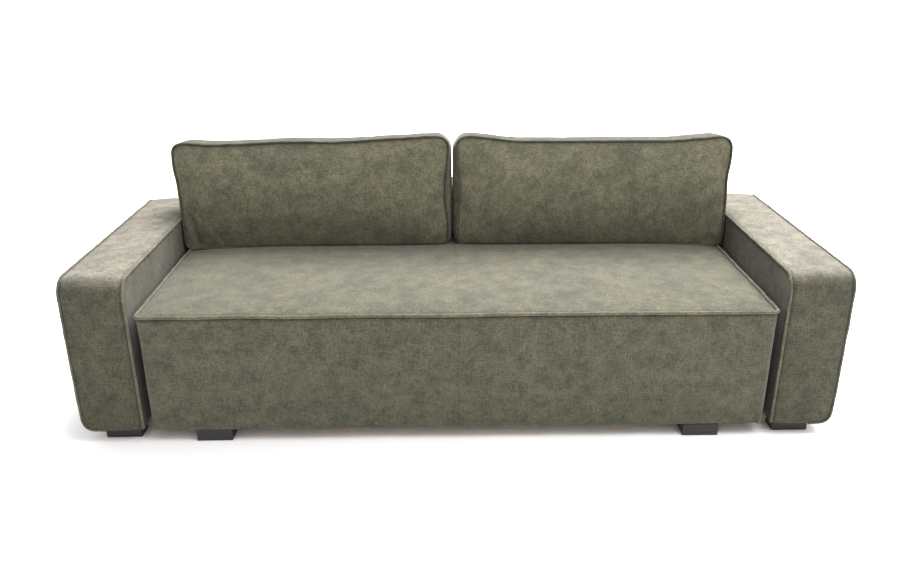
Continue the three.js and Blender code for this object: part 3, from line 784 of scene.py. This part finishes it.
def seat_side(side, suffix):
    """The thin padded cloth on each side of the seat unit."""
    node = f"seat_side_padding_{suffix}"
    lo, hi = (np.array(c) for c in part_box(node))
    outline = resample(rounded_outline([
        (lo[1], lo[2], 0.003),
        (hi[1], lo[2], 0.003),
        (hi[1], hi[2], 0.003),
        (lo[1], hi[2], 0.003)]), 0.010)
    middle = outline.mean(axis=0)
    shares = [0.3, 0.6, 0.85, 0.97, 1.0]
    thick = hi[0] - lo[0]
    inner, outer = (lo[0], hi[0]) if side > 0 else (hi[0], lo[0])
    rings = []
    for share in shares:
        rings.append(np.column_stack([np.full(len(outline), inner), middle + (outline - middle) * share]))
    for share in reversed(shares):
        swell = 0.0015 * (1 - share ** 4) - 0.35 * thick * share ** 12
        rings.append(np.column_stack(
            [np.full(len(outline), outer + side * swell), middle + (outline - middle) * share]))
    made = loft(f"seat_side_cloth_{suffix}", rings, CLOTH)
    points = coordinates(made.data)
    points[:, 0] += side * 0.0008 * lattice_noise(points, 0.09, 41)
    set_coordinates(made.data, points)
    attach(made, "seat_unit")
    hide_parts(node)


# ---------------------------------------------------------------- backrest and rear cover

PANEL_SECTIONS = 190
PANEL_END_SHARES = np.array([0.0, 0.08, 0.25, 0.6, 1.0])
BACKREST_OVER = (0.0035, 0.002, 0.003)     # how far its cover stands out at each end, below and above
BACKREST_RADII = (0.030, 0.006, 0.006, 0.030)
BACKREST_CROWNS = (0.002, 0.004)
BACKREST_SEAM = (0.0008, 0.006, 0.0006)
BACKREST_SEAM_INSET = 0.004
BACKREST_SEAM_CORNER = 0.012


def upholstered_panel(name, lo, hi, radii, crowns, seed, end_radius):
    """A padded panel whose side view is a rounded box; crowns are its front and rear swell."""
    outline = resample(rounded_outline([
        (lo[1], lo[2], radii[0]),
        (hi[1], lo[2], radii[1]),
        (hi[1], hi[2], radii[2]),
        (lo[1], hi[2], radii[3])]), 0.010)
    middle = (lo + hi) / 2
    half = (hi - lo) / 2
    turn = end_radius * PANEL_END_SHARES
    body = np.linspace(lo[0] + 0.02, hi[0] - 0.02, PANEL_SECTIONS)
    stations = np.concatenate([lo[0] + turn, body, hi[0] - turn[::-1]])
    away = outline - outline.mean(axis=0)
    reach = np.maximum(np.abs(away).max(axis=1, keepdims=True), 1e-6)
    sections = []
    for x in stations:
        rim = max(0.0, abs(x - middle[0]) - (half[0] - end_radius))
        inset = end_radius - math.sqrt(max(end_radius ** 2 - rim ** 2, 0))
        sections.append(np.column_stack([np.full(len(outline), x), outline - away / reach * inset * 0.8]))
    made = loft(name, sections, CLOTH)
    points, normals = coordinates(made.data), coordinates(made.data, "normal")
    u, _, w = ((points - middle) / half).T
    dome = (1 - np.abs(u) ** 8) * (1 - np.abs(w) ** 4)
    swell = dome * (crowns[0] * np.maximum(-normals[:, 1], 0) + crowns[1] * np.maximum(normals[:, 1], 0))
    waves = 0.0010 * lattice_noise(points, 0.18, seed) + 0.0004 * lattice_noise(points, 0.05, seed + 1)
    points += normals * (swell + waves)[:, None]
    set_coordinates(made.data, points)
    return made


def backrest():
    """One padded cover around the whole backrest, its board included."""
    lo, hi = (np.array(c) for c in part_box("backrest_pad"))
    hi[1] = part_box("backrest_rear_cover")[1][1]
    end, below, above = BACKREST_OVER
    lo, hi = lo - (end, 0, below), hi + (end, 0.001, above)
    made = upholstered_panel("backrest_upholstery", lo, hi, BACKREST_RADII, BACKREST_CROWNS, 51, 0.005)
    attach(made, "backrest")
    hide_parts("backrest_pad", "backrest_rear_cover")
    left, right = lo[0] + BACKREST_SEAM_INSET, hi[0] - BACKREST_SEAM_INSET
    foot, head = lo[2] + BACKREST_SEAM_INSET, hi[2] - BACKREST_SEAM_INSET
    corners = ((left, foot), (right, foot), (right, head), (left, head))
    seam = resample(rounded_outline([(x, z, BACKREST_SEAM_CORNER) for x, z in corners]), 0.009)
    path = np.column_stack([seam[:, 0], np.full(len(seam), hi[1] - 0.002), seam[:, 1]])
    # Sewing also paints shade on the cloth beside the seam.
    sew(made, [path], *BACKREST_SEAM)
    piping("backrest_piping", made, path, CLOTH_SEAM, "backrest", proud=0.1)


def rear_cover():
    lo, hi = (np.array(c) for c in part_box("base_rear_cover"))
    made = upholstered_panel("base_rear_upholstery", lo, hi, (0.0025,) * 4, (0.0, 0.0025), 61, 0.003)
    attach(made, "base")
    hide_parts("base_rear_cover")


# ---------------------------------------------------------------- back cushions

CUSHION_LEAN = 0.034
CUSHION_CROWN = 0.024      # how far the front panel swells
CUSHION_TOE = 0.032        # how far the lower outer corner has slipped forward
CUSHION_TUCK = 0.010       # how far the front panel hangs over its seam at the foot
CUSHION_HEAD_CORNER = 0.11
CUSHION_FOOT_CORNERS = (0.6, 0.4)  # the inner and outer corner at the foot, of the head's
CUSHION_PANEL_WIDTH = 2.5          # of its height, where its corners are rounded
CUSHION_FLARE = (0.003, 0.016)     # how far the outer wall stands over its seam, and more at the head
CUSHION_RINGS = (0.08, 0.3, 0.55, 0.78, 0.92)
CUSHION_WALL_RINGS = (0.12, 0.3, 0.5, 0.7, 0.88)
CUSHION_FRONT_GAP = 0.001
CUSHION_REAR_GAP = 0.006
CUSHION_WAVES = (0.0016, 0.0006)
CUSHION_WAVE_LENGTHS = (0.10, 0.035)
CUSHION_SEAM = (0.0030, 0.008, 0.0007, 0.030, 81)
# Painted shade beside the cushions' seams: how dark, and over what distance
CUSHION_SEAM_PAINTED_SHADE = (0.85, 0.009)
# Painted shade at the cushion's foot: how dark, and over what height
CUSHION_FOOT_PAINTED_SHADE = (0.85, 0.030)
CUSHION_LOW_PAINTED_SHADE = (0.34, 0.26)   # painted shade: how dark the cloth is painted at the foot, and the height where it ends
CUSHION_PRESSURE = 4.0
CUSHION_SLACK = -0.008             # the cloth's shrinkage; below 0 it's loose
CUSHION_MOVE_LIMIT = 0.024
REST_GAP = 0.002                   # between a cushion and the seat
ARM_GAP = 0.0055                   # between a cushion and an arm's CAD box
ARM_CLEARANCE = (0.045, 0.03)      # how far over the arm's top the gap holds, and where it fades
BACK_SLOPE = 0.10                  # how the cushion leans back over the backrest
HINGE_ZONE = (0.53, 0.26)          # the hinge plates stand below this height and behind this line
HINGE_GAP = 0.003
# Each cushion's front seam. Its inner and outer ends stand this far from the middle plane, at even
# heights from foot to head; its head stands this high at the shares of the width given first.
HEAD_SHARES = (0, 0.1, 0.2, 0.4, 0.6, 0.8, 0.9, 1)
CUSHION_FRONTS = {
    "left": {
        "inner": (0.024, 0.018, 0.034, 0.033, 0.021, 0.014),
        "outer": (1.012, 1.018, 1.021, 1.034, 1.042, 1.040),
        "head": (0.866, 0.863, 0.858, 0.847, 0.849, 0.840, 0.840, 0.852),
        "waist": 0.0095},
    "right": {
        "inner": (0.012, 0.006, 0.015, 0.019, 0.004, 0.004),
        "outer": (1.014, 1.018, 1.020, 1.022, 1.030, 1.030),
        "head": (0.868, 0.862, 0.846, 0.845, 0.843, 0.844, 0.852, 0.861),
        "waist": -0.0045},
}


def through(values, share):
    """A smooth line through values at even shares from 0 to 1."""
    fine = np.linspace(-0.1, 1.1, 121)
    line = np.interp(fine, np.linspace(0, 1, len(values)), values)
    for _ in range(60):
        line[1:-1] = (line[:-2] + 2 * line[1:-1] + line[2:]) / 4
    return np.interp(share, fine, line)


def cushion_panel(suffix, side, low, drop=0.0, shrink=0.0, straight=0.0):
    """The outline of a cushion's panel, as (x, z) points; straight takes the waist out of its sides."""
    shape = CUSHION_FRONTS[suffix]
    wide, radius = CUSHION_PANEL_WIDTH, CUSHION_HEAD_CORNER
    inner_foot, outer_foot = (radius * share for share in CUSHION_FOOT_CORNERS)
    corners = [(0, 0, inner_foot), (wide, 0, outer_foot), (wide, 1, radius), (0, 1, radius)]
    box = resample(rounded_outline(corners, 0.03), 0.02)
    s, t = box[:, 0] / wide, box[:, 1]
    wall = max(shape["outer"][:2]) + CUSHION_FLARE[0] + CUSHION_FLARE[1] * t
    inner = through(shape["inner"], t) * (1 - straight) + shape["waist"] * straight
    outer = through(shape["outer"], t) * (1 - straight) + wall * straight
    x = inner + shrink + (outer - inner - 2 * shrink) * s
    grid = np.linspace(0, 1, 61)
    head = np.interp(s, grid, smooth_open(np.interp(grid, HEAD_SHARES, shape["head"]), 5)) - drop
    z = low + shrink + (head - low - 2 * shrink) * t
    return np.column_stack([side * x, z])


def cushion_body(side, suffix):
    lo, hi = (np.array(c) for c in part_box(f"back_cushion_{suffix}"))
    foot, head = lo[2] + REST_GAP, hi[2]
    front, rear = lo[1] - CUSHION_FRONT_GAP, hi[1] - CUSHION_REAR_GAP

    def lean(z):
        return CUSHION_LEAN * np.clip((z - foot) / (head - foot), 0, 1.1)

    def sway(z):
        return 0.012 * np.clip((z - 0.62) / 0.22, 0, 1) ** 2

    count = len(resample(cushion_panel(suffix, side, foot), 0.012))
    loop = even(cushion_panel(suffix, side, foot), count)
    rear_loop = even(cushion_panel(suffix, side, foot + 0.004, 0.012, 0.003), count)
    wall_loop = even(cushion_panel(suffix, side, foot, 0.0, 0.0, 1.0), count)
    middle = loop.mean(axis=0)

    def place(flat, y):
        return np.column_stack([flat[:, 0], y, flat[:, 1]])

    rings = []
    for share in CUSHION_RINGS:
        flat = middle + (loop - middle) * share
        rings.append(place(flat, front + lean(flat[:, 1]) - CUSHION_CROWN * (1 - share ** 2)))
    low = np.clip(1 - (loop[:, 1] - foot) / 0.25, 0, 1)
    toe = CUSHION_TOE * np.clip(np.abs(loop[:, 0]), 0, 1) ** 4 * low
    tuck = CUSHION_TUCK * np.clip(1 - (loop[:, 1] - foot) / 0.05, 0, 1)
    front_seam = place(loop, front + lean(loop[:, 1]) - toe + tuck)
    rear_seam = place(rear_loop, rear + sway(rear_loop[:, 1]))
    rings.append(front_seam)
    for share in CUSHION_WALL_RINGS:
        ring = front_seam * (1 - share) + rear_seam * share
        bulge = min(1.0, 1.6 * math.sin(share * math.pi))
        wall = wall_loop * (1 - share) + (wall_loop + rear_loop - loop) * share
        ring[:, 0] += (wall[:, 0] - ring[:, 0]) * bulge
        rings.append(ring)
    rings.append(rear_seam)
    for share in reversed(CUSHION_RINGS):
        flat = middle + (rear_loop - middle) * share
        rings.append(place(flat, rear + sway(flat[:, 1]) + 0.002 * (1 - share ** 2)))
    return loft(f"back_cushion_cloth_{suffix}", rings, CLOTH_BACK), front_seam, rear_seam


def inflate(made, seams, pressure, shrink, cap):
    """Lets the cloth swell under pressure while its seams hold, and keeps each move under `cap`."""
    mesh = made.data
    start = coordinates(mesh)
    group = made.vertex_groups.new(name="seams")
    nearest = np.min([nearest_on_path(start, seam)[0] for seam in seams], axis=0)
    weights = bump(nearest, 0.009)
    for index in np.nonzero(weights > 0.05)[0]:
        group.add([int(index)], float(weights[index]), "REPLACE")
    cloth = made.modifiers.new("cloth", "CLOTH")
    cloth.settings.quality = 4
    cloth.settings.mass = 0.25
    cloth.settings.tension_stiffness = 12
    cloth.settings.compression_stiffness = 12
    cloth.settings.bending_stiffness = 0.3
    cloth.settings.use_pressure = True
    cloth.settings.uniform_pressure_force = pressure
    cloth.settings.shrink_min = shrink
    cloth.settings.effector_weights.gravity = 0
    cloth.settings.vertex_group_mass = group.name
    cloth.collision_settings.use_collision = False
    cloth.point_cache.frame_start = 1
    cloth.point_cache.frame_end = CLOTH_FRAMES
    scene = bpy.context.scene
    for step in range(1, CLOTH_FRAMES + 1):
        scene.frame_set(step)
    bake(made)
    scene.frame_set(1)
    moved = coordinates(made.data) - start
    length = np.linalg.norm(moved, axis=1)[:, None]
    moved *= np.minimum(1, cap / np.maximum(length, 1e-9))
    set_coordinates(made.data, start + moved)
    made.vertex_groups.clear()
    return start, moved


def carried(path, start, moved):
    """The path after the cloth has moved: each point goes with the vertices around it."""
    result = []
    for point in path:
        gap = np.linalg.norm(start - point, axis=1)
        near = np.argsort(gap)[:12]
        weight = np.exp(-gap[near] / 0.006)
        result.append(point + (moved[near] * weight[:, None]).sum(axis=0) / weight.sum())
    return np.array(result)


def cushion(side, suffix):
    body = f"back_cushion_{suffix}"
    made, front_seam, rear_seam = cushion_body(side, suffix)
    voxel_remesh(made, CUSHION_VOXEL)
    relax(made.data, 2)
    seams = [front_seam, rear_seam]
    start, moved = inflate(made, seams, CUSHION_PRESSURE, CUSHION_SLACK, CUSHION_MOVE_LIMIT)
    seams = [smooth_closed(carried(seam, start, moved)) for seam in seams]
    points, normals = coordinates(made.data), coordinates(made.data, "normal")
    waves = CUSHION_WAVES[0] * lattice_noise(points, CUSHION_WAVE_LENGTHS[0], 71 + side)
    waves = waves + CUSHION_WAVES[1] * lattice_noise(points, CUSHION_WAVE_LENGTHS[1], 75 + side)
    points += normals * waves[:, None]
    set_coordinates(made.data, points)
    # Both calls paint shade on the cloth beside the seams.
    sew(made, seams, *CUSHION_SEAM)
    paint_seam_shade(made, seams, *CUSHION_SEAM_PAINTED_SHADE)
    keep_in_place(made, side, suffix)
    # Painted shade at the cushion's foot, fading over its lower part
    height = coordinates(made.data)[:, 2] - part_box(body)[0][2]
    for (share, reach), power in ((CUSHION_FOOT_PAINTED_SHADE, 1.5), (CUSHION_LOW_PAINTED_SHADE, 1.0)):
        add_painted_shade(made.data, share * np.clip(1 - height / reach, 0, 1) ** power)
    smooth = made.modifiers.new("smooth", "SUBSURF")
    smooth.levels = smooth.render_levels = 1
    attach(made, body)
    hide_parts(body)
    for name, seam in zip(("front", "rear"), seams):
        piping(f"cushion_piping_{name}_{suffix}", made, resample(seam, 0.008), CLOTH_SEAM_BACK, body)


def keep_in_place(made, side, suffix):
    """Flattens the cushion where it rests on the seat, leans on the backrest and meets its neighbours."""
    lo, hi = (np.array(c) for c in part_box(f"back_cushion_{suffix}"))
    points = coordinates(made.data)
    rest = lo[2] + REST_GAP
    points[:, 2] = np.where(points[:, 2] < rest, rest + 0.1 * (points[:, 2] - rest), points[:, 2])
    back_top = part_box("backrest_pad")[1][2]
    wall = hi[1] - 0.001 + BACK_SLOPE * np.maximum(points[:, 2] - back_top, 0)
    points[:, 1] = np.minimum(points[:, 1], wall)
    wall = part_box("arm_cover_right")[0][0] - ARM_GAP
    arm_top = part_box("arm_cover_right")[1][2]
    below = np.clip((arm_top + ARM_CLEARANCE[0] - points[:, 2]) / ARM_CLEARANCE[1], 0, 1)
    reach = side * points[:, 0]
    points[:, 0] = np.where(reach > wall, side * (wall * below + reach * (1 - below)), points[:, 0])
    nearest = CUSHION_FRONTS[suffix]["waist"] - 0.001
    reach = side * points[:, 0]
    points[:, 0] = np.where(reach < nearest, side * nearest, points[:, 0])
    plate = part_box("hinge_bolt_right")[0][0] - HINGE_GAP
    low_rear = (points[:, 2] < HINGE_ZONE[0]) & (points[:, 1] > HINGE_ZONE[1])
    points[:, 0] = np.where(low_rear & (side * points[:, 0] > plate), side * plate, points[:, 0])
    set_coordinates(made.data, points)


# ---------------------------------------------------------------- kept CAD pieces

# Words in the names of CAD pieces, the first that fit being used, with their material and chamfer
KEPT_LOOKS = (
    (("foot",), WENGE, 0.0025),
    (("arm_outer_board",), WENGE, 0.0070),
    (("backrest_board",), BIRCH, 0.0040),
    (("wheel", "guide_roller"), NYLON, 0.0008),
    (("axle", "fork", "rail_left", "rail_right", "hinge_"), STEEL, 0.0005),
    (("arm_", "deck", "backrest_board"), BIRCH, 0.0012),
    (("beam", "runner", "post", "seat_"), PINE, 0.0018),
)


def dress_kept_nodes():
    """Gives each CAD piece that stays its material and a small chamfer."""
    for name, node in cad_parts.items():
        if node.hide_render:
            continue
        for words, material, chamfer in KEPT_LOOKS:
            if any(word in name for word in words):
                if not node.material_slots:
                    node.data.materials.append(material)
                for place in node.material_slots:
                    place.material = material
                joined = node.modifiers.new("joined", "WELD")
                joined.merge_threshold = 1e-6
                edge = node.modifiers.new("chamfer", "BEVEL")
                edge.width = chamfer
                edge.segments = 2
                edge.limit_method = "ANGLE"
                edge.angle_limit = math.radians(50)
                edge.harden_normals = True
                break


# ---------------------------------------------------------------- studio

def soft_light(name, place, aim, width, height, power, color):
    lamp = bpy.data.lights.new(name, "AREA")
    lamp.shape = "RECTANGLE"
    lamp.size, lamp.size_y = width, height
    lamp.energy = power
    lamp.color = color
    made = bpy.data.objects.new(name, lamp)
    made.location = place
    made.rotation_euler = (Vector(aim) - Vector(place)).to_track_quat("-Z", "Y").to_euler()
    bpy.context.scene.collection.objects.link(made)


def studio():
    """A pale floor, a sky that is brighter overhead and to the right, and the lamps."""
    corners = [(x * FLOOR_HALF, y * FLOOR_HALF, 0) for x, y in ((-1, -1), (1, -1), (1, 1), (-1, 1))]
    floor = mesh_object("floor", corners, [(0, 1, 2, 3)], paper_floor("floor_paper"))
    bpy.context.scene.view_settings.view_transform = "Standard"

    world = bpy.data.worlds.new("studio")
    world.use_nodes = True
    tree = world.node_tree
    background = tree.nodes["Background"]
    direction = tree.nodes.new("ShaderNodeTexCoord")
    split = tree.nodes.new("ShaderNodeSeparateXYZ")
    across = tree.nodes.new("ShaderNodeMapRange")
    across.inputs["From Min"].default_value = -1.0
    across.inputs["To Min"].default_value = -SKY_SIDE
    across.inputs["To Max"].default_value = SKY_SIDE
    height = tree.nodes.new("ShaderNodeMath")
    height.operation = "ADD"
    ramp = tree.nodes.new("ShaderNodeValToRGB")
    for element, (position, value) in zip(ramp.color_ramp.elements, ((0.0, SKY_LOW), (1.0, 1.0))):
        element.position = position
        element.color = (value, value, value, 1)
    tree.links.new(direction.outputs["Generated"], split.inputs["Vector"])
    tree.links.new(split.outputs["X"], across.inputs["Value"])
    tree.links.new(split.outputs["Z"], height.inputs[0])
    tree.links.new(across.outputs["Result"], height.inputs[1])
    tree.links.new(height.outputs["Value"], ramp.inputs["Fac"])
    tree.links.new(ramp.outputs["Color"], background.inputs["Color"])
    background.inputs["Strength"].default_value = SKY_STRENGTH
    bpy.context.scene.world = world

    for lamp in LAMPS:
        soft_light(*lamp)


def camera():
    lens = bpy.data.cameras.new("camera")
    lens.lens = CAMERA_LENS
    lens.sensor_width = 36.0
    lens.clip_end = 120
    made = bpy.data.objects.new("camera", lens)
    pitch, yaw, roll = (math.radians(a) for a in (CAMERA_PITCH, CAMERA_YAW, CAMERA_ROLL))
    ahead = Vector((math.sin(yaw) * math.cos(pitch), math.cos(yaw) * math.cos(pitch), -math.sin(pitch)))
    right = Vector((math.cos(yaw), -math.sin(yaw), 0))
    up = right.cross(ahead)
    tilted_right = right * math.cos(roll) + up * math.sin(roll)
    tilted_up = -right * math.sin(roll) + up * math.cos(roll)
    axes = Matrix((tilted_right, tilted_up, -ahead)).transposed()
    made.matrix_world = Matrix.Translation(CAMERA_PLACE) @ axes.to_4x4()
    bpy.context.scene.collection.objects.link(made)
    bpy.context.scene.camera = made


camera()
studio()
for side, suffix in SIDES:
    arm(side, suffix)
    seat_side(side, suffix)
    cushion(side, suffix)
seat()
backrest()
rear_cover()
dress_kept_nodes()
